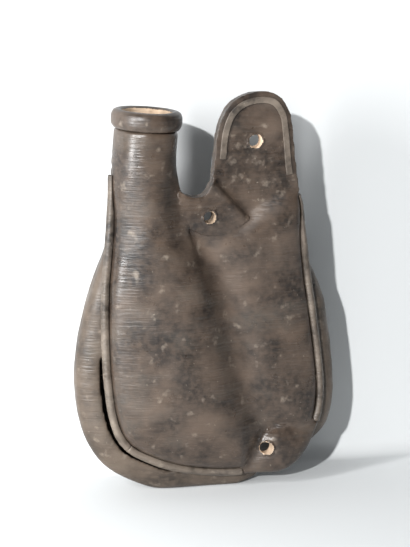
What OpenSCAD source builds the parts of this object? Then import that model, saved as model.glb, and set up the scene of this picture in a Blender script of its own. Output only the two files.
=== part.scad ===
// Pilgrim flask: a fired clay bottle shaped like a leather water bag.
// A domed back and a swelling front meet at a beaded seam. A round neck rises at the
// upper left, a tall pierced lug at the upper right, a pierced web joins the two, and
// a small pierced lug sits at the lower right corner.
// Millimetres. +Z is up, the front faces -Y, and the flask stands on its foot at z = 0.

/* [Body] */
// Thickness of the clay wall
wall = 6; // [4.5:0.5:7]
// How far the front swells forward of the seam's step, on the left
front_swell = 17; // [12:1:22]
// How far the smaller swell on the right stands forward of the seam's step
side_swell = 9; // [6:1:12]
// Depth of the fold between the two swells
fold_depth = 3.5; // [0:0.5:5]
// How far the back reaches behind the seam
back_depth = 48; // [42:1:56]
// How far the back bulges out past the seam, seen from the front
back_bulge = 18; // [12:1:20]
// Height of the flat foot above the lowest point of the round belly
foot_cut = 2.25; // [1:0.25:2.5]
// Depth of the flat worn on the back, behind which the clay would be round
back_cut = 1.2; // [0.8:0.2:2]

/* [Neck] */
// Outer radius of the neck
neck_r = 22.4; // [21.5:0.1:23]
// Radius of the bore through the neck
neck_bore_r = 16.4; // [15.5:0.1:16.8]
// Length of the neck between the shoulder and the rim
neck_h = 27; // [22:1:32]
// Lean of the neck to the right, in degrees
neck_lean = 4; // [0:0.5:5]
// Outer radius of the rolled rim
rim_r = 24.2; // [23.5:0.1:25]
// Height of the rolled rim
rim_h = 13; // [11:0.5:15]
// Radius of the mouth inside the rim
mouth_r = 16.8; // [16:0.1:17.2]

/* [Lugs] */
// Thickness of the upper lug and the web
lug_t = 9.5; // [8.5:0.5:11]
// Radius of the cord hole in the upper lug
upper_hole_r = 4.4; // [3.5:0.1:5]
// Radius of the cord hole in the web
web_hole_r = 4; // [3:0.1:4.5]
// Radius of the cord hole in the lower lug
lower_hole_r = 4.2; // [3.5:0.1:4.5]
// Thickness of the lower lug
ear_h = 11.5; // [10.5:0.5:13]

/* [Seam] */
// How far the bead stands out past the seam
bead_reach = 2.6; // [2:0.1:3.2]
// How far the bead stands forward of the seam
bead_h = 6; // [5.5:0.25:7]
// Height of the step at the front wall's edge, behind the bead
step_h = 4.5; // [4:0.25:5]

/* [Hidden] */
$fn = 96;
clay_dark = "#4a423c";
clay_brown = "#5a4d43";
clay_worn = "#8c7c6c";

// The seam in the plane y = 0, as [x, z], from the neck's left side down and round
neck_foot = [-43, 222];
left_side = [[-66, 203], [-68.4, 168], [-71, 138], [-71.2, 104], [-69.5, 72], [-65, 44]];
bottom_side = [[-55.5, 27], [-38, 16.5], [-18, 9.4], [6, 5.4], [26, 4.6]];
ear_side = [[38, 7.4], [50, 12], [61.5, 18.5], [71.5, 26]];
right_side = [[79.4, 38], [82.8, 57], [81.2, 82], [77.6, 109.5], [72.6, 143], [68, 175]];
shoulder = [[64, 200]];
web_seat = [[54, 201.5], [40, 196], [27, 187], [15, 179.5], [3, 177], [-9, 180], [-17, 190],
    [-20.4, 206]];
// Points on each stretch of the seam, of the neck's half circle and of a lug's outline
steps = 3;
neck_steps = 11;
lug_steps = 4;

// Middle of the belly, which every ring closes towards
belly = [5, 96];
// Where the back is widest, behind the seam, and how far it draws in above that
widest_y = 11;
narrowing = 0.1;
// Width of the bead's seat on the seam
bead_seat = 3;
// How deep the lower lug sits in the body, and how far it stands out of it
ear_depth = 19.5;
ear_reach = 10.5;
// The raised border of the upper lug's face
border_w = 4.6;
border_t = 1.3;
// Rounding of the lug's edges
round_edge = 2.2;

function mix(a, b, k) = a + (b - a) * k;
function unit(v) = v / norm(v);
function reversed(p) = [for (i = [len(p) - 1:-1:0]) p[i]];
function smooth_step(low, high, v) =
    let (k = min(1, max(0, (v - low) / (high - low)))) k * k * (3 - 2 * k);
// The larger of two heights, with a soft blend where they are alike
function soft_max(a, b) = pow(pow(max(a, 0), 6) + pow(max(b, 0), 6), 1 / 6);
function curve_point(a, b, c, d, u) =
    (2 * b + (c - a) * u + (2 * a - 5 * b + 4 * c - d) * u * u
    + (3 * b - a - 3 * c + d) * u * u * u) / 2;
function curve(p, count) = concat(
    [for (i = [0:len(p) - 2]) for (k = [0:count - 1])
        curve_point(p[max(i - 1, 0)], p[i], p[i + 1], p[min(i + 2, len(p) - 1)], k / count)],
    [p[len(p) - 1]]);
function normals(p) = [for (i = [0:len(p) - 1])
    let (t = unit(p[min(i + 1, len(p) - 1)] - p[max(i - 1, 0)])) [t[1], -t[0]] * -1];

// The direction across the neck's opening
across = [cos(neck_lean), -sin(neck_lean)];
function neck_point(angle, radius) = neck_foot + across * radius * cos(angle);

outer_seam = curve(concat([neck_point(180, neck_r)], left_side, bottom_side, ear_side,
    right_side, shoulder, web_seat, [neck_point(0, neck_r)]), steps);
last = len(outer_seam) - 1;
outward = -1 * normals(outer_seam);
neck_angles = [for (k = [1:neck_steps]) 180 * k / (neck_steps + 1)];
count = last + 1 + neck_steps;

bottom_start = steps * (len(left_side) + 1);
ear_start = bottom_start + steps * (len(bottom_side) - 1);
ear_end = ear_start + steps * (len(ear_side) + 1);
shoulder_at = ear_end + steps * len(right_side);
web_end = shoulder_at + steps * len(web_seat);
lug_seats = 3;
lug_join = shoulder_at + lug_seats * steps;

// Heights and offsets that vary along the seam
function on_ear(i) = i <= ear_start || i >= ear_end ? 0
    : pow(sin(180 * (i - ear_start) / (ear_end - ear_start)), 2);
// The seam is drawn in round the lower lug, which is a solid pinch of clay
function drawn_in(i) = ear_depth * sqrt(on_ear(i));
seam = [for (i = [0:last]) outer_seam[i] - outward[i] * drawn_in(i)];
function bead_room(i) = i > shoulder_at ? 0
    : bead_seat * (1 - (i < bottom_start ? smooth_step(185, 215, seam[i][1])
        : smooth_step(165, 200, seam[i][1])));
function step_near(x, z) =
    mix(step_h, lug_t, smooth_step(-24, -4, x) * smooth_step(140, 186, z));
function step_at(i) = step_near(seam[i][0], seam[i][1]);
function bulge_at(i) = i > shoulder_at ? 0
    : back_bulge * mix(1.1, 0.82, smooth_step(-30, 15, seam[i][0]))
        * (1 - 0.3 * on_ear(i)) * (1 - (i < bottom_start
        ? smooth_step(60, 225, seam[i][1]) : smooth_step(115, 200, seam[i][1])));

// The front's two swells, with the fold that runs down from the web between them
fold_line = [[36, 38], [65, 26], [94, 19], [123, 13], [151, 4], [173, -9], [205, -24]];
fold_w = 13;
function front_rise(x, z) = let (d = x - lookup(z, fold_line))
    mix(front_swell, side_swell, smooth_step(-22, 22, d))
    - fold_depth * exp(-pow(d / fold_w, 2));
// Depth of the neck's round form, carried down into the body and fading out
function neck_depth(x, z, radius) =
    let (d = (x - neck_foot[0] - (neck_foot[1] - z) * 0.1) / radius)
    let (round_form = sqrt(max(0, 1 - d * d)))
    let (soft_form = exp(-1.1 * d * d))
    radius * mix(soft_form * smooth_step(110, 205, z), round_form, smooth_step(196, 222, z));
function towards(p, s) = belly + (p - belly) * s;
function pillow(s) = sqrt(1 - pow(s, 3));

// Front wall: rings from the middle of the front to the seam, then back along the inside
front_scales = [0.14, 0.3, 0.46, 0.61, 0.74, 0.84, 0.91, 0.96, 0.99];
function front_edge(i) = seam[i] - outward[i] * bead_room(i);
front_outline = concat([for (i = [0:last]) front_edge(i)],
    [for (a = neck_angles) neck_point(a, neck_r)]);
front_inner = concat([for (i = [0:last]) front_edge(i) - outward[i] * wall],
    [for (a = neck_angles) neck_point(a, neck_bore_r)]);
function front_outer_point(i, s) = let (p = towards(front_outline[i], s))
    [p[0], -soft_max(neck_depth(p[0], p[1], neck_r),
        step_near(p[0], p[1]) + front_rise(p[0], p[1]) * pillow(s)), p[1]];
function front_inner_point(i, s) = let (p = towards(front_inner[i], s))
    [p[0], -soft_max(neck_depth(p[0], p[1], neck_bore_r),
        (front_rise(p[0], p[1]) + step_h - wall) * pillow(s)), p[1]];
function rim_ring(outline, radius, at) = [for (i = [0:count - 1])
    let (p = outline[i])
    i > last ? [p[0], at * radius * sin(neck_angles[i - last - 1]), p[1]] : [p[0], 0, p[1]]];
front_edge_ring = [for (i = [0:count - 1]) let (p = front_outline[i])
    [p[0], i > last ? -neck_r * sin(neck_angles[i - last - 1]) : -step_at(i), p[1]]];
mid_r = (neck_r + neck_bore_r) / 2;
front_mid_ring = [for (i = [0:count - 1])
    let (p = i > last ? neck_point(neck_angles[i - last - 1], mid_r) : front_outline[i])
    [p[0], i > last ? -mid_r * sin(neck_angles[i - last - 1]) : 0, p[1]]];
front_rings = concat(
    [for (s = front_scales) [for (i = [0:count - 1]) front_outer_point(i, s)]],
    [front_edge_ring, front_mid_ring, rim_ring(front_inner, neck_bore_r, -1)],
    [for (k = [len(front_scales) - 1:-1:0])
        [for (i = [0:count - 1]) front_inner_point(i, front_scales[k])]]);

// Back shell: from the seam the clay bulges out past the bead, then rounds off behind
side_rings = 5;
back_rings = 9;
back_power = 0.72;
bulges = [for (i = [0:count - 1]) i > last ? 0 : bulge_at(i)];
ears = [for (i = [0:count - 1]) i > last ? 0 : on_ear(i)];
draws = [for (i = [0:count - 1]) i > last ? 0 : drawn_in(i)];
// How much of the clay above the back's top edge is drawn down to it
top_pull = 0.8;
// The back's top edge, which falls from the neck to the right shoulder
function back_top(x) = mix(222, 184, smooth_step(-32, 12, x));
function back_depth_at(z) = mix(back_depth, 33, smooth_step(130, 215, z));
function shell_outline(inset) = concat(
    [for (i = [0:last]) seam[i] - outward[i] * inset[i]],
    [for (a = neck_angles) neck_point(a, inset[0] > 0 ? neck_bore_r : neck_r)]);
function directions(i) = i > last ? [0, 0] : outward[i];
// Round the lower lug the clay first runs back and then out, which leaves a hollow there
function side_point(outline, i, k, thin, radius, lift) =
    let (part = k / side_rings)
    let (full = bulges[i] / back_bulge)
    let (turn = 90 * part)
    let (out = bulges[i] * mix(sin(turn), 1 - cos(turn), ears[i]) + draws[i] * (1 - cos(turn)))
    let (q = outline[i] + directions(i) * (out + thin[i] * part))
    let (lowered = q[1] - top_pull * max(0, q[1] + lift - back_top(q[0])))
    let (p = towards([q[0], mix(q[1], lowered, part * (1 - full))],
        1 - narrowing * (1 - full) * part))
    let (y = mix(mix(widest_y * part, widest_y * (1 - cos(turn)), full),
        (widest_y + lift) * sin(turn), ears[i]))
    [p[0], soft_max(neck_depth(p[0], p[1], radius), y), p[1]];
function dome_point(outline, i, k, thin, radius, lift) =
    let (turn = 90 * k / back_rings)
    let (edge = side_point(outline, i, side_rings, thin, radius, lift))
    let (p = towards([edge[0], edge[2]], pow(cos(turn), back_power)))
    let (y = mix(edge[1], back_depth_at(p[1]) - lift, pow(sin(turn), back_power)))
    [p[0], soft_max(neck_depth(p[0], p[1], radius), y), p[1]];
function shell_rings(outline, thin, radius, lift) = concat(
    [for (k = [back_rings - 1:-1:1])
        [for (i = [0:count - 1]) dome_point(outline, i, k, thin, radius, lift)]],
    [for (k = [side_rings:-1:1])
        [for (i = [0:count - 1]) side_point(outline, i, k, thin, radius, lift)]]);
no_inset = [for (i = [0:count - 1]) 0];
rim_inset = [for (i = [0:count - 1]) i > last ? 0 : wall + bead_room(i)];
rim_thin = [for (i = [0:count - 1]) i > last ? 0 : bead_room(i)];
outer_rings = shell_rings(shell_outline(no_inset), no_inset, neck_r, 0);
inner_rings = shell_rings(shell_outline(rim_inset), rim_thin, neck_bore_r, wall);

// The box round the whole body, which sets the origin on the foot
belly_low = min([for (r = outer_rings) for (p = r) p[2]]);
foot_z = belly_low + foot_cut;
flat_y = back_depth - back_cut;
left_x = min([for (r = outer_rings) for (p = r) p[0]]);
right_x = max([for (r = outer_rings) for (p = r) p[0]]);
rim_front_y = -rim_r;
mid_x = (left_x + right_x) / 2;
mid_y = (rim_front_y + flat_y) / 2;
module place() { translate([-mid_x, -mid_y, -foot_z]) children(); }

function worn_flat(p) = [p[0], min(p[1], flat_y), max(p[2], foot_z)];
back_skin = concat(
    [for (r = outer_rings) [for (p = r) worn_flat(p)]],
    [rim_ring(shell_outline(no_inset), neck_r, 1),
     rim_ring(shell_outline(rim_inset), neck_bore_r, 1)],
    [for (k = [len(inner_rings) - 1:-1:0]) inner_rings[k]]);

// Triangles over a stack of rings that ends in a point at each end
function skin_faces(n, rings) = concat(
    [for (i = [0:n - 1]) [0, 1 + i, 1 + (i + 1) % n]],
    [for (r = [0:rings - 2]) for (i = [0:n - 1])
        let (a = 1 + r * n + i) let (b = 1 + r * n + (i + 1) % n)
        each [[a, a + n, b + n], [a, b + n, b]]],
    [for (i = [0:n - 1]) let (top = 1 + (rings - 1) * n)
        [top + i, 1 + rings * n, top + (i + 1) % n]]);
module skin(first_pole, rings, last_pole, turned) {
    faces = skin_faces(len(rings[0]), len(rings));
    polyhedron(points = concat([first_pole], [for (r = rings) each r], [last_pole]),
        faces = turned ? [for (f = faces) reversed(f)] : faces, convexity = 10);
}

// Triangles over a row of sections that ends in a flat section at each end
function row_faces(n, rows) = concat(
    [[for (k = [0:n - 1]) k]],
    [for (r = [0:rows - 2]) for (k = [0:n - 1])
        let (a = r * n + k) let (b = r * n + (k + 1) % n)
        each [[a, a + n, b + n], [a, b + n, b]]],
    [[for (k = [n - 1:-1:0]) (rows - 1) * n + k]]);
module row_skin(rows, turned) {
    faces = row_faces(len(rows[0]), len(rows));
    polyhedron(points = [for (r = rows) each r],
        faces = turned ? [for (f = faces) reversed(f)] : faces, convexity = 6);
}

// The bead along the seam, whose section swells into the lower lug
function strip_section(i) =
    let (k = on_ear(i))
    let (f = bead_room(i) + drawn_in(i))
    let (e = mix(bead_reach, ear_reach, k))
    let (h = mix(max(bead_h, step_at(i) + 1), ear_h, k))
    let (s = step_at(i))
    [[-f, 0], [mix(e, 0, 0.5), 0], [e - 0.3, -1.4], [e, -3],
     [e - mix(0.4, 1.5, k), -h * 0.72], [mix(e * 0.3, e - 4, k), -h * 0.94],
     [mix(-0.3, -4, k), -h], [-f + mix(0.3, 5, k), -mix(s + 0.6, h, k)], [-f, -s]];
function strip_rows(from, to) = [for (i = [from:to]) [for (q = strip_section(i))
    let (p = outer_seam[i] + outward[i] * q[0]) [p[0], q[1], p[1]]]];

// Plates with rounded front and back edges
lug_outline_points = [[60.8, 222], [58.6, 245], [56.2, 258.5], [48.5, 269], [36, 271.8],
    [22.5, 268.6], [12.6, 260], [7.4, 246], [5.4, 228]];
lug_foot_left = [3.4, 213];
lug_curve = curve(concat([seam[shoulder_at]], lug_outline_points, [lug_foot_left]), lug_steps);
web_top = curve([seam[web_end], [-14, 202.6], [-7, 201.6], [-1.2, 204.6], lug_foot_left], lug_steps);
function free_inset(p, held, d) = [for (i = [0:len(p) - 1])
    let (n = len(p))
    let (t = unit(p[(i + 1) % n] - p[(i + n - 1) % n]))
    held[i] ? p[i] : p[i] + [-t[1], t[0]] * d];
function at_depth(p, y) = [for (q = p) [q[0], y, q[1]]];
module rounded_plate(outline, held, front, back) {
    inset_outline = free_inset(outline, held, round_edge);
    slight_outline = free_inset(outline, held, round_edge * 0.3);
    row_skin([at_depth(inset_outline, front), at_depth(slight_outline, front + round_edge * 0.3),
        at_depth(outline, front + round_edge), at_depth(outline, back - round_edge),
        at_depth(slight_outline, back - round_edge * 0.3), at_depth(inset_outline, back)], false);
}

module back_shell() {
    color(clay_brown) place()
        skin([belly[0], flat_y, belly[1]], back_skin, [belly[0], back_depth - wall, belly[1]],
            false);
}

module front_wall() {
    rise = front_rise(belly[0], belly[1]);
    color(clay_dark) place()
        skin([belly[0], -step_h - rise, belly[1]], front_rings,
            [belly[0], -rise - step_h + wall, belly[1]], true);
}

module on_neck() {
    place() translate([neck_foot[0], 0, neck_foot[1]]) rotate([0, neck_lean, 0]) children();
}

module neck() {
    color(clay_dark) on_neck() rotate_extrude()
        polygon([[neck_bore_r, 0], [neck_r, 0], [neck_r - 0.4, neck_h * 0.4],
            [neck_r - 0.7, neck_h * 0.8], [neck_r - 0.3, neck_h], [neck_bore_r, neck_h]]);
}

module rim_collar() {
    lip = 2.6;
    color(clay_dark) on_neck() translate([0, 0, neck_h]) rotate_extrude()
        polygon([[mouth_r, 0], [neck_r - 0.3, 0], [rim_r - 1, 1.6], [rim_r, 4],
            [rim_r, rim_h - 4], [rim_r - 1.2, rim_h - 1.2], [rim_r - 3.4, rim_h],
            [mouth_r + lip, rim_h], [mouth_r + 0.8, rim_h - 0.8], [mouth_r, rim_h - 2]]);
}

// A straight bore through a plate, from the front at [x, z]
module through_hole(at, radius) {
    reach = 40;
    translate([at[0], -reach, at[1]]) rotate([-90, 0, 0]) cylinder(r = radius, h = 2 * reach);
}

upper_hole = [33, 239];
module upper_lug() {
    lug_loop = concat(reversed(lug_curve), [for (i = [shoulder_at + 1:lug_join]) seam[i]]);
    held = [for (i = [0:len(lug_loop) - 1]) i == 0 || i >= len(lug_curve) - 1];
    color(clay_dark) place() difference() {
        rounded_plate(lug_loop, held, -lug_t, 0);
        through_hole(upper_hole, upper_hole_r);
    }
}

// The worn raised border round the lug's face
module lug_border() {
    low_end = 3;
    trim = [for (i = [low_end:len(lug_curve) - low_end - 2]) lug_curve[i]];
    run_normals = normals(trim);
    outer = [for (i = [0:len(trim) - 1]) trim[i] + run_normals[i] * (round_edge + 0.2)];
    inner = [for (i = [0:len(trim) - 1]) trim[i] + run_normals[i] * (round_edge + border_w)];
    color(clay_worn) place() translate([0, -lug_t, 0]) rotate([90, 0, 0])
        linear_extrude(border_t) polygon(concat(outer, reversed(inner)));
}

web_hole = [0, 188.5];
// How far the web's roll stands forward of the lug
web_roll = 4;
module saddle_web() {
    web_loop = concat([for (i = [lug_join:web_end - 1]) seam[i]], web_top);
    run = web_end - lug_join;
    held = [for (i = [0:len(web_loop) - 1]) i <= run || i == len(web_loop) - 1];
    color(clay_dark) place() difference() {
        rounded_plate(web_loop, held, -lug_t - web_roll, 0);
        through_hole(web_hole, web_hole_r);
    }
}

lower_hole = [42, 22];
hollow_depth = 1;
module lower_lug() {
    color(clay_dark) place() difference() {
        row_skin(strip_rows(ear_start, ear_end), true);
        through_hole(lower_hole, lower_hole_r);
        translate([lower_hole[0], -ear_h + hollow_depth, lower_hole[1]]) rotate([90, 0, 0])
            cylinder(r = lower_hole_r + 2, h = ear_h);
    }
}

module seam_bead(from, to) { color(clay_worn) place() row_skin(strip_rows(from, to), true); }
module seam_bead_left() { seam_bead(1, bottom_start); }
module seam_bead_bottom() { seam_bead(bottom_start, ear_start); }
module seam_bead_right() { seam_bead(ear_end, shoulder_at); }

back_shell();
front_wall();
neck();
rim_collar();
saddle_web();
upper_lug();
lug_border();
seam_bead_left();
seam_bead_bottom();
lower_lug();
seam_bead_right();
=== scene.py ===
# A fired clay pilgrim flask, burnished dark and worn pale along its raised edges.
import math

import bmesh
import bpy
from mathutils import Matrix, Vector, noise
from mathutils.bvhtree import BVHTree


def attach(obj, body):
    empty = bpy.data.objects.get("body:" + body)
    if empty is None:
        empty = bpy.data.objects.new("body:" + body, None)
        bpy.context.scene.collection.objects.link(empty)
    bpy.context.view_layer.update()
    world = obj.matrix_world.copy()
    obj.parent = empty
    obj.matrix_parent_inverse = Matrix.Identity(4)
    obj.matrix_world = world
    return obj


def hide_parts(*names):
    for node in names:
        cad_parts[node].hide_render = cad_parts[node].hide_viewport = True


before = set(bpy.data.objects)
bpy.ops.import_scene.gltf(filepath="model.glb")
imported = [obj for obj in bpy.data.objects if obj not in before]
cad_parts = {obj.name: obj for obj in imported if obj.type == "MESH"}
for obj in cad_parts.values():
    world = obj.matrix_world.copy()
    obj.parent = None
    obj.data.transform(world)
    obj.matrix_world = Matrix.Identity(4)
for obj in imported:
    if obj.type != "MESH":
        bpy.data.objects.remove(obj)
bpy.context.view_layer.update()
MM = 0.001

# The shift from the frame to the seam's own coordinates, in millimetres
SHIFT = Vector((3.09524, 11.3, -7.28981))
# The neck's foot, its direction and the radius of the mouth
NECK_FOOT = Vector((-43, 0, 222))
NECK_LEAN = math.radians(4)
NECK_AXIS = Vector((math.sin(NECK_LEAN), 0, math.cos(NECK_LEAN)))
MOUTH_R = 16.8
# Centre and radius of each cord hole, as x, z and radius
CORD_HOLES = ((33, 239, 4.4), (0, 188.5, 4.0), (42, 22, 4.2))
# How far outside a bore's wall its bare clay reaches, and how far behind the seam
HOLE_EDGE = 0.45
HOLE_BACK = 1


def raw(point):
    """A point of the frame in the seam's own millimetres."""
    return point / MM + SHIFT


def in_bore(point):
    """True on the bare clay inside the mouth and the cord holes."""
    p = raw(point)
    from_foot = p - NECK_FOOT
    up = from_foot.dot(NECK_AXIS)
    if up > 0 and (from_foot - NECK_AXIS * up).length < MOUTH_R + HOLE_EDGE:
        return True
    if p.y >= HOLE_BACK:
        return False
    return any(math.hypot(p.x - x, p.z - z) < r + HOLE_EDGE for x, z, r in CORD_HOLES)


def add(tree, kind, **settings):
    """A new node in a material, with its settings."""
    made = tree.nodes.new("ShaderNode" + kind)
    for key, value in settings.items():
        setattr(made, key, value)
    return made


def patches(tree, scale, low, high, detail=4.0, stretch=(1, 1, 1)):
    """Noise cut to a range, 0 to 1, that varies with the place on the object."""
    place = add(tree, "TexCoord")
    mapping = add(tree, "Mapping")
    mapping.inputs["Scale"].default_value = stretch
    tree.links.new(place.outputs["Object"], mapping.inputs["Vector"])
    grain = add(tree, "TexNoise")
    grain.inputs["Scale"].default_value = scale
    grain.inputs["Detail"].default_value = detail
    tree.links.new(mapping.outputs["Vector"], grain.inputs["Vector"])
    span = add(tree, "MapRange")
    span.inputs["From Min"].default_value = low
    span.inputs["From Max"].default_value = high
    tree.links.new(grain.outputs["Fac"], span.inputs["Value"])
    return span.outputs["Result"]


def blend(tree, mask, first, second, share=1.0):
    """Two colours mixed by a mask, of which share is used."""
    part = add(tree, "Math", operation="MULTIPLY")
    part.inputs[1].default_value = share
    tree.links.new(mask, part.inputs[0])
    mix = add(tree, "Mix", data_type="RGBA")
    tree.links.new(part.outputs[0], mix.inputs["Factor"])
    for socket, colour in ((mix.inputs[6], first), (mix.inputs[7], second)):
        if isinstance(colour, tuple):
            socket.default_value = (*colour, 1)
        else:
            tree.links.new(colour, socket)
    return mix.outputs[2]


def new_material(name):
    material = bpy.data.materials.new(name)
    material.use_nodes = True
    return material, material.node_tree, material.node_tree.nodes["Principled BSDF"]


SOOT = (0.006, 0.005, 0.005)
SPECK = (0.3, 0.26, 0.21)
CHALK = (0.3, 0.25, 0.2)
GLOSS_SPREAD = 0.22
RELIEF_DEPTH = 0.0006


def clay_colour(tree, dark, light, bloom, bloom_share):
    """Mottled clay with soot patches, pale bloom, specks, fine grain and chalky flecks."""
    mottle = patches(tree, scale=38, low=0.36, high=0.64, detail=12.0)
    soot = patches(tree, scale=18, low=0.52, high=0.64, detail=8.0)
    haze = patches(tree, scale=26, low=0.52, high=0.68, detail=12.0, stretch=(1, 1, 1.8))
    specks = patches(tree, scale=420, low=0.69, high=0.75)
    grain = patches(tree, scale=260, low=0.42, high=0.62, detail=14.0)
    flecks = patches(tree, scale=120, low=0.62, high=0.76, detail=15.0)
    colour = blend(tree, mottle, dark, light)
    colour = blend(tree, soot, colour, SOOT, share=0.75)
    colour = blend(tree, haze, colour, bloom, share=bloom_share)
    colour = blend(tree, specks, colour, SPECK, share=0.4)
    colour = blend(tree, grain, colour, light, share=0.4)
    return blend(tree, flecks, colour, CHALK, share=0.45)


def clay_material(name, dark, light, bloom, bloom_share, roughness, bump):
    """Fired clay with uneven gloss and the fine level lines that throwing leaves."""
    material, tree, shader = new_material(name)
    colour = clay_colour(tree, dark, light, bloom, bloom_share)
    tree.links.new(colour, shader.inputs["Base Color"])
    gloss = add(tree, "MapRange")
    gloss.inputs["To Min"].default_value = roughness
    gloss.inputs["To Max"].default_value = roughness + GLOSS_SPREAD
    rubbed = patches(tree, scale=60, low=0.35, high=0.65)
    tree.links.new(rubbed, gloss.inputs["Value"])
    tree.links.new(gloss.outputs["Result"], shader.inputs["Roughness"])
    relief = add(tree, "Bump")
    relief.inputs["Strength"].default_value = bump
    relief.inputs["Distance"].default_value = RELIEF_DEPTH
    lines = patches(tree, scale=70, low=0.3, high=0.7, detail=8.0, stretch=(1, 1, 9))
    tree.links.new(lines, relief.inputs["Height"])
    tree.links.new(relief.outputs["Normal"], shader.inputs["Normal"])
    return material


BURNISHED = clay_material(
    "burnished clay",
    dark=(0.018, 0.013, 0.01),
    light=(0.085, 0.06, 0.044),
    bloom=(0.1, 0.085, 0.07),
    bloom_share=0.35,
    roughness=0.27,
    bump=0.3,
)
SHELL_CLAY = clay_material(
    "matte brown clay",
    dark=(0.03, 0.022, 0.016),
    light=(0.1, 0.074, 0.054),
    bloom=(0.17, 0.14, 0.11),
    bloom_share=0.35,
    roughness=0.42,
    bump=0.4,
)
WORN = clay_material(
    "worn edge clay",
    dark=(0.035, 0.027, 0.02),
    light=(0.15, 0.12, 0.095),
    bloom=(0.3, 0.25, 0.2),
    bloom_share=0.45,
    roughness=0.4,
    bump=0.4,
)
BARE = clay_material(
    "bare pale clay",
    dark=(0.42, 0.3, 0.2),
    light=(0.62, 0.47, 0.34),
    bloom=(0.66, 0.56, 0.45),
    bloom_share=0.4,
    roughness=0.75,
    bump=0.4,
)


# The fold between the two swells of the front, as height and place across
FOLD_LINE = ((36, 38), (65, 26), (94, 19), (123, 13), (151, 4), (173, -9), (205, -24))
FOLD_WIDTH = 15
FOLD_DEPTH = 4.5
# The left swell's extra height, its distance left of the fold and its width
SWELL_RISE = 2.0
SWELL_LEFT = 38
SWELL_WIDTH = 22
# Where the fold starts at its foot, ends at its head, and fades to the sides and the seam
FOLD_FOOT = (22, 50)
FOLD_HEAD = (168, 190)
FOLD_SIDES = (50, 68)
FRONT_MIDDLE = 3
FOLD_FRONT = (0, 8)


def fold_x(z):
    """Where the fold is at a height."""
    for (z0, x0), (z1, x1) in zip(FOLD_LINE, FOLD_LINE[1:]):
        if z < z1:
            return x0 + (x1 - x0) * (max(z, z0) - z0) / (z1 - z0)
    return FOLD_LINE[-1][1]


def fade(low, high, value):
    """0 below low and 1 above high, with a soft change between."""
    k = min(1, max(0, (value - low) / (high - low)))
    return k * k * (3 - 2 * k)


def front_push(p):
    """How far the fold sinks, or the left swell rises, at a place on the front, in mm back."""
    across = p.x - fold_x(p.z)
    inside = fade(*FOLD_FOOT, p.z) * (1 - fade(*FOLD_HEAD, p.z))
    inside *= 1 - fade(*FOLD_SIDES, abs(p.x - FRONT_MIDDLE))
    sunk = FOLD_DEPTH * math.exp(-((across / FOLD_WIDTH) ** 2))
    raised = SWELL_RISE * math.exp(-(((across + SWELL_LEFT) / SWELL_WIDTH) ** 2))
    return (sunk - raised) * inside * fade(*FOLD_FRONT, -p.y)


# Corners closer than this are one corner, and how much one round of softening moves a point
WELD = 1e-6
SOFTENING = 0.5


def joined_mesh(name, nodes, voxel, rounds):
    """The solids of these nodes as one even mesh, with its edges and joints softened."""
    mesh = bpy.data.meshes.new(name)
    work = bmesh.new()
    for node in nodes:
        work.from_mesh(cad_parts[node].data)
    bmesh.ops.remove_doubles(work, verts=work.verts, dist=WELD)
    work.to_mesh(mesh)
    work.free()
    holder = bpy.data.objects.new(name, mesh)
    bpy.context.scene.collection.objects.link(holder)
    remesh = holder.modifiers.new("even mesh", "REMESH")
    remesh.mode = "VOXEL"
    remesh.voxel_size = voxel * MM
    soften = holder.modifiers.new("softened edges", "SMOOTH")
    soften.factor = SOFTENING
    soften.iterations = rounds
    shape = holder.evaluated_get(bpy.context.evaluated_depsgraph_get())
    finished = bpy.data.meshes.new_from_object(shape)
    bpy.data.objects.remove(holder)
    return finished


# The front's clay as one skin, which the front's pieces are drawn onto at their joints
FRONT_NODES = ["front_wall", "neck", "saddle_web", "upper_lug", "lower_lug"]
SKIN_VOXEL = 1.3
SKIN_ROUNDS = 26
# How far a point may be from the skin, how well the two must face the same way, and the
# rounds of softening that follow
SKIN_REACH = 4.5 * MM
SKIN_AGREES = 0.25
SKIN_SETTLES = 2
# How far a piece reaches into its neighbour, so that no gap shows at the joint
JOINT_OVERLAP = 2.2 * MM
skin_mesh = joined_mesh("front skin", FRONT_NODES, SKIN_VOXEL, SKIN_ROUNDS)
skin_tree = BVHTree.FromPolygons(
    [v.co for v in skin_mesh.vertices], [tuple(f.vertices) for f in skin_mesh.polygons]
)


def onto_skin(mesh):
    """Draws the outer points of a piece onto the front's one skin."""
    normals = [v.normal.copy() for v in mesh.vertices]
    for vertex, normal in zip(mesh.vertices, normals):
        if not in_bore(vertex.co):
            vertex.co += normal * JOINT_OVERLAP
    for vertex, normal in zip(mesh.vertices, normals):
        place, facing, _, _ = skin_tree.find_nearest(vertex.co, SKIN_REACH)
        if place is not None and facing.dot(normal) > SKIN_AGREES and not in_bore(vertex.co):
            vertex.co = place
    work = bmesh.new()
    work.from_mesh(mesh)
    every_axis = {"use_axis_x": True, "use_axis_y": True, "use_axis_z": True}
    for _ in range(SKIN_SETTLES):
        bmesh.ops.smooth_vert(work, verts=work.verts, factor=SOFTENING, **every_axis)
    work.to_mesh(mesh)
    work.free()


# Size of the dents and of the throwing lines along x, y and z, and the lines' share
DENT_SIZE = (24, 24, 14)
LINE_SIZE = (60, 60, 2.4)
LINE_SHARE = 0.35


def wave(p, size):
    """Smooth noise at a place, with bumps of about this size."""
    return noise.noise(Vector((p.x / size[0], p.y / size[1], p.z / size[2])))


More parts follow.
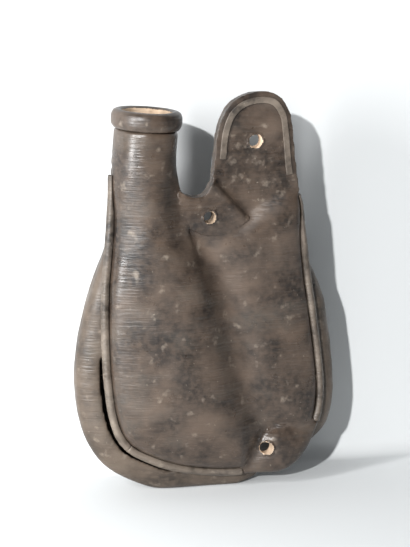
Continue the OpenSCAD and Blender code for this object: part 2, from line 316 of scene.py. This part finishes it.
def clay_piece(name, node, material, voxel, rounds, ripple=0.3, on_skin=False):
    """One visible piece: the solid's form softened like hand-worked clay, with slight dents."""
    finished = joined_mesh(name, [node], voxel, rounds)
    if on_skin:
        onto_skin(finished)
        finished.update()
    normals = [v.normal.copy() for v in finished.vertices]
    for vertex, normal in zip(finished.vertices, normals):
        p = raw(vertex.co)
        if in_bore(vertex.co):
            continue
        dents = wave(p, DENT_SIZE)
        lines = wave(p, LINE_SIZE)
        vertex.co += normal * (dents * ripple + lines * ripple * LINE_SHARE) * MM
        if on_skin:
            vertex.co.y += front_push(p) * MM
    finished.materials.clear()
    finished.materials.append(material)
    finished.materials.append(BARE)
    for face in finished.polygons:
        face.use_smooth = True
        face.material_index = 1 if in_bore(face.center) else 0
    piece = bpy.data.objects.new(name, finished)
    bpy.context.scene.collection.objects.link(piece)
    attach(piece, "root")
    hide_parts(node)
    return piece


def front_piece(name, node, voxel, rounds):
    """A piece of the front, whose surface runs on into its neighbours'."""
    clay_piece(name, node, BURNISHED, voxel, rounds, on_skin=True)


def build_body():
    clay_piece("back_half", "back_shell", SHELL_CLAY, 1.6, 12, ripple=0.25)
    front_piece("front_half", "front_wall", voxel=1.2, rounds=10)


def build_neck():
    front_piece("thrown_neck", "neck", voxel=1.0, rounds=4)
    clay_piece("rolled_rim", "rim_collar", BURNISHED, 0.8, 4, ripple=0.35)


def build_lugs():
    front_piece("rolled_web", "saddle_web", voxel=0.8, rounds=8)
    front_piece("tall_lug", "upper_lug", voxel=0.8, rounds=8)
    clay_piece("tall_lug_border", "lug_border", WORN, 0.35, 5, ripple=0.2)
    front_piece("pinched_lug", "lower_lug", voxel=0.7, rounds=8)


def build_seam():
    for side in ("left", "bottom", "right"):
        clay_piece("bead_" + side, "seam_bead_" + side, WORN, 0.6, 5)


# The camera looks from slightly left and above. Views are azimuth and elevation in degrees
CAMERA_AIM = Vector((-3.1, -11.3, 154.3)) * MM
CAMERA_DISTANCE = 1.6
CAMERA_VIEW = (-14, 12)
CAMERA_LENS = 153.3
# The key light casts the crisp shadow, and the strip gives the streak on the left swell
KEY_VIEW = (-32, 20)
KEY_STRENGTH = 3.8
KEY_SPREAD = math.radians(1.5)
STRIP_VIEW = (-58, 14)
STRIP_DISTANCE = 0.8
STRIP_SIZE = (0.08, 0.5)
STRIP_STRENGTH = 9
ROOM_COLOUR = (0.9, 0.95, 1, 1)
ROOM_STRENGTH = 0.07


def direction(azimuth, elevation):
    """The way from the object to a camera or lamp."""
    a, e = math.radians(azimuth), math.radians(elevation)
    return Vector((math.sin(a) * math.cos(e), -math.cos(a) * math.cos(e), math.sin(e)))


def aim(thing, view, distance):
    """Puts a camera or lamp at a view of the object and turns it to the object."""
    back = direction(*view)
    thing.location = CAMERA_AIM + back * distance
    thing.rotation_euler = (-back).to_track_quat("-Z", "Y").to_euler()


def build_camera():
    data = bpy.data.cameras.new("camera")
    data.lens = CAMERA_LENS
    camera = bpy.data.objects.new("camera", data)
    bpy.context.scene.collection.objects.link(camera)
    aim(camera, CAMERA_VIEW, CAMERA_DISTANCE)
    bpy.context.scene.camera = camera
    bpy.context.scene.view_settings.view_transform = "Standard"


def build_lamps():
    sun_data = bpy.data.lights.new("key", "SUN")
    sun_data.energy = KEY_STRENGTH
    sun_data.angle = KEY_SPREAD
    sun = bpy.data.objects.new("key", sun_data)
    strip_data = bpy.data.lights.new("strip", "AREA")
    strip_data.shape = "RECTANGLE"
    strip_data.size, strip_data.size_y = STRIP_SIZE
    strip_data.energy = STRIP_STRENGTH
    strip = bpy.data.objects.new("strip", strip_data)
    for lamp in (sun, strip):
        bpy.context.scene.collection.objects.link(lamp)
    aim(sun, KEY_VIEW, 1)
    aim(strip, STRIP_VIEW, STRIP_DISTANCE)
    world = bpy.data.worlds.new("room light")
    world.use_nodes = True
    background = world.node_tree.nodes["Background"]
    background.inputs["Color"].default_value = ROOM_COLOUR
    background.inputs["Strength"].default_value = ROOM_STRENGTH
    bpy.context.scene.world = world


def sheet_material():
    """Matte and pale, and clear when seen from behind."""
    material, tree, shader = new_material("pale sheet")
    shader.inputs["Base Color"].default_value = (0.6, 0.615, 0.62, 1)
    shader.inputs["Roughness"].default_value = 0.9
    shader.inputs["Emission Color"].default_value = ROOM_COLOUR
    shader.inputs["Emission Strength"].default_value = 0.03
    side = add(tree, "NewGeometry")
    clear = add(tree, "BsdfTransparent")
    mix = add(tree, "MixShader")
    tree.links.new(side.outputs["Backfacing"], mix.inputs[0])
    tree.links.new(shader.outputs[0], mix.inputs[1])
    tree.links.new(clear.outputs[0], mix.inputs[2])
    tree.links.new(mix.outputs[0], tree.nodes["Material Output"].inputs["Surface"])
    return material


def build_sweep():
    """A pale sheet: floor, curve and wall close behind, seen only from its front."""
    wall_y = 0.045
    curve_r = 0.012
    curve_steps = 8
    half_width = 2.0
    height = 2.5
    reach = 2.5
    profile = [(-reach, 0.0)]
    for k in range(curve_steps + 1):
        turn = math.pi / 2 * k / curve_steps
        curve_y = wall_y - curve_r + curve_r * math.sin(turn)
        profile.append((curve_y, curve_r - curve_r * math.cos(turn)))
    profile.append((wall_y, height))
    points = [(x, y, z) for x in (-half_width, half_width) for y, z in profile]
    count = len(profile)
    faces = [(k, k + count, k + count + 1, k + 1) for k in range(count - 1)]
    mesh = bpy.data.meshes.new("sweep")
    mesh.from_pydata(points, [], faces)
    for face in mesh.polygons:
        face.use_smooth = True
    sweep = bpy.data.objects.new("sweep", mesh)
    bpy.context.scene.collection.objects.link(sweep)
    mesh.materials.append(sheet_material())


build_body()
build_neck()
build_lugs()
build_seam()
build_sweep()
build_lamps()
build_camera()
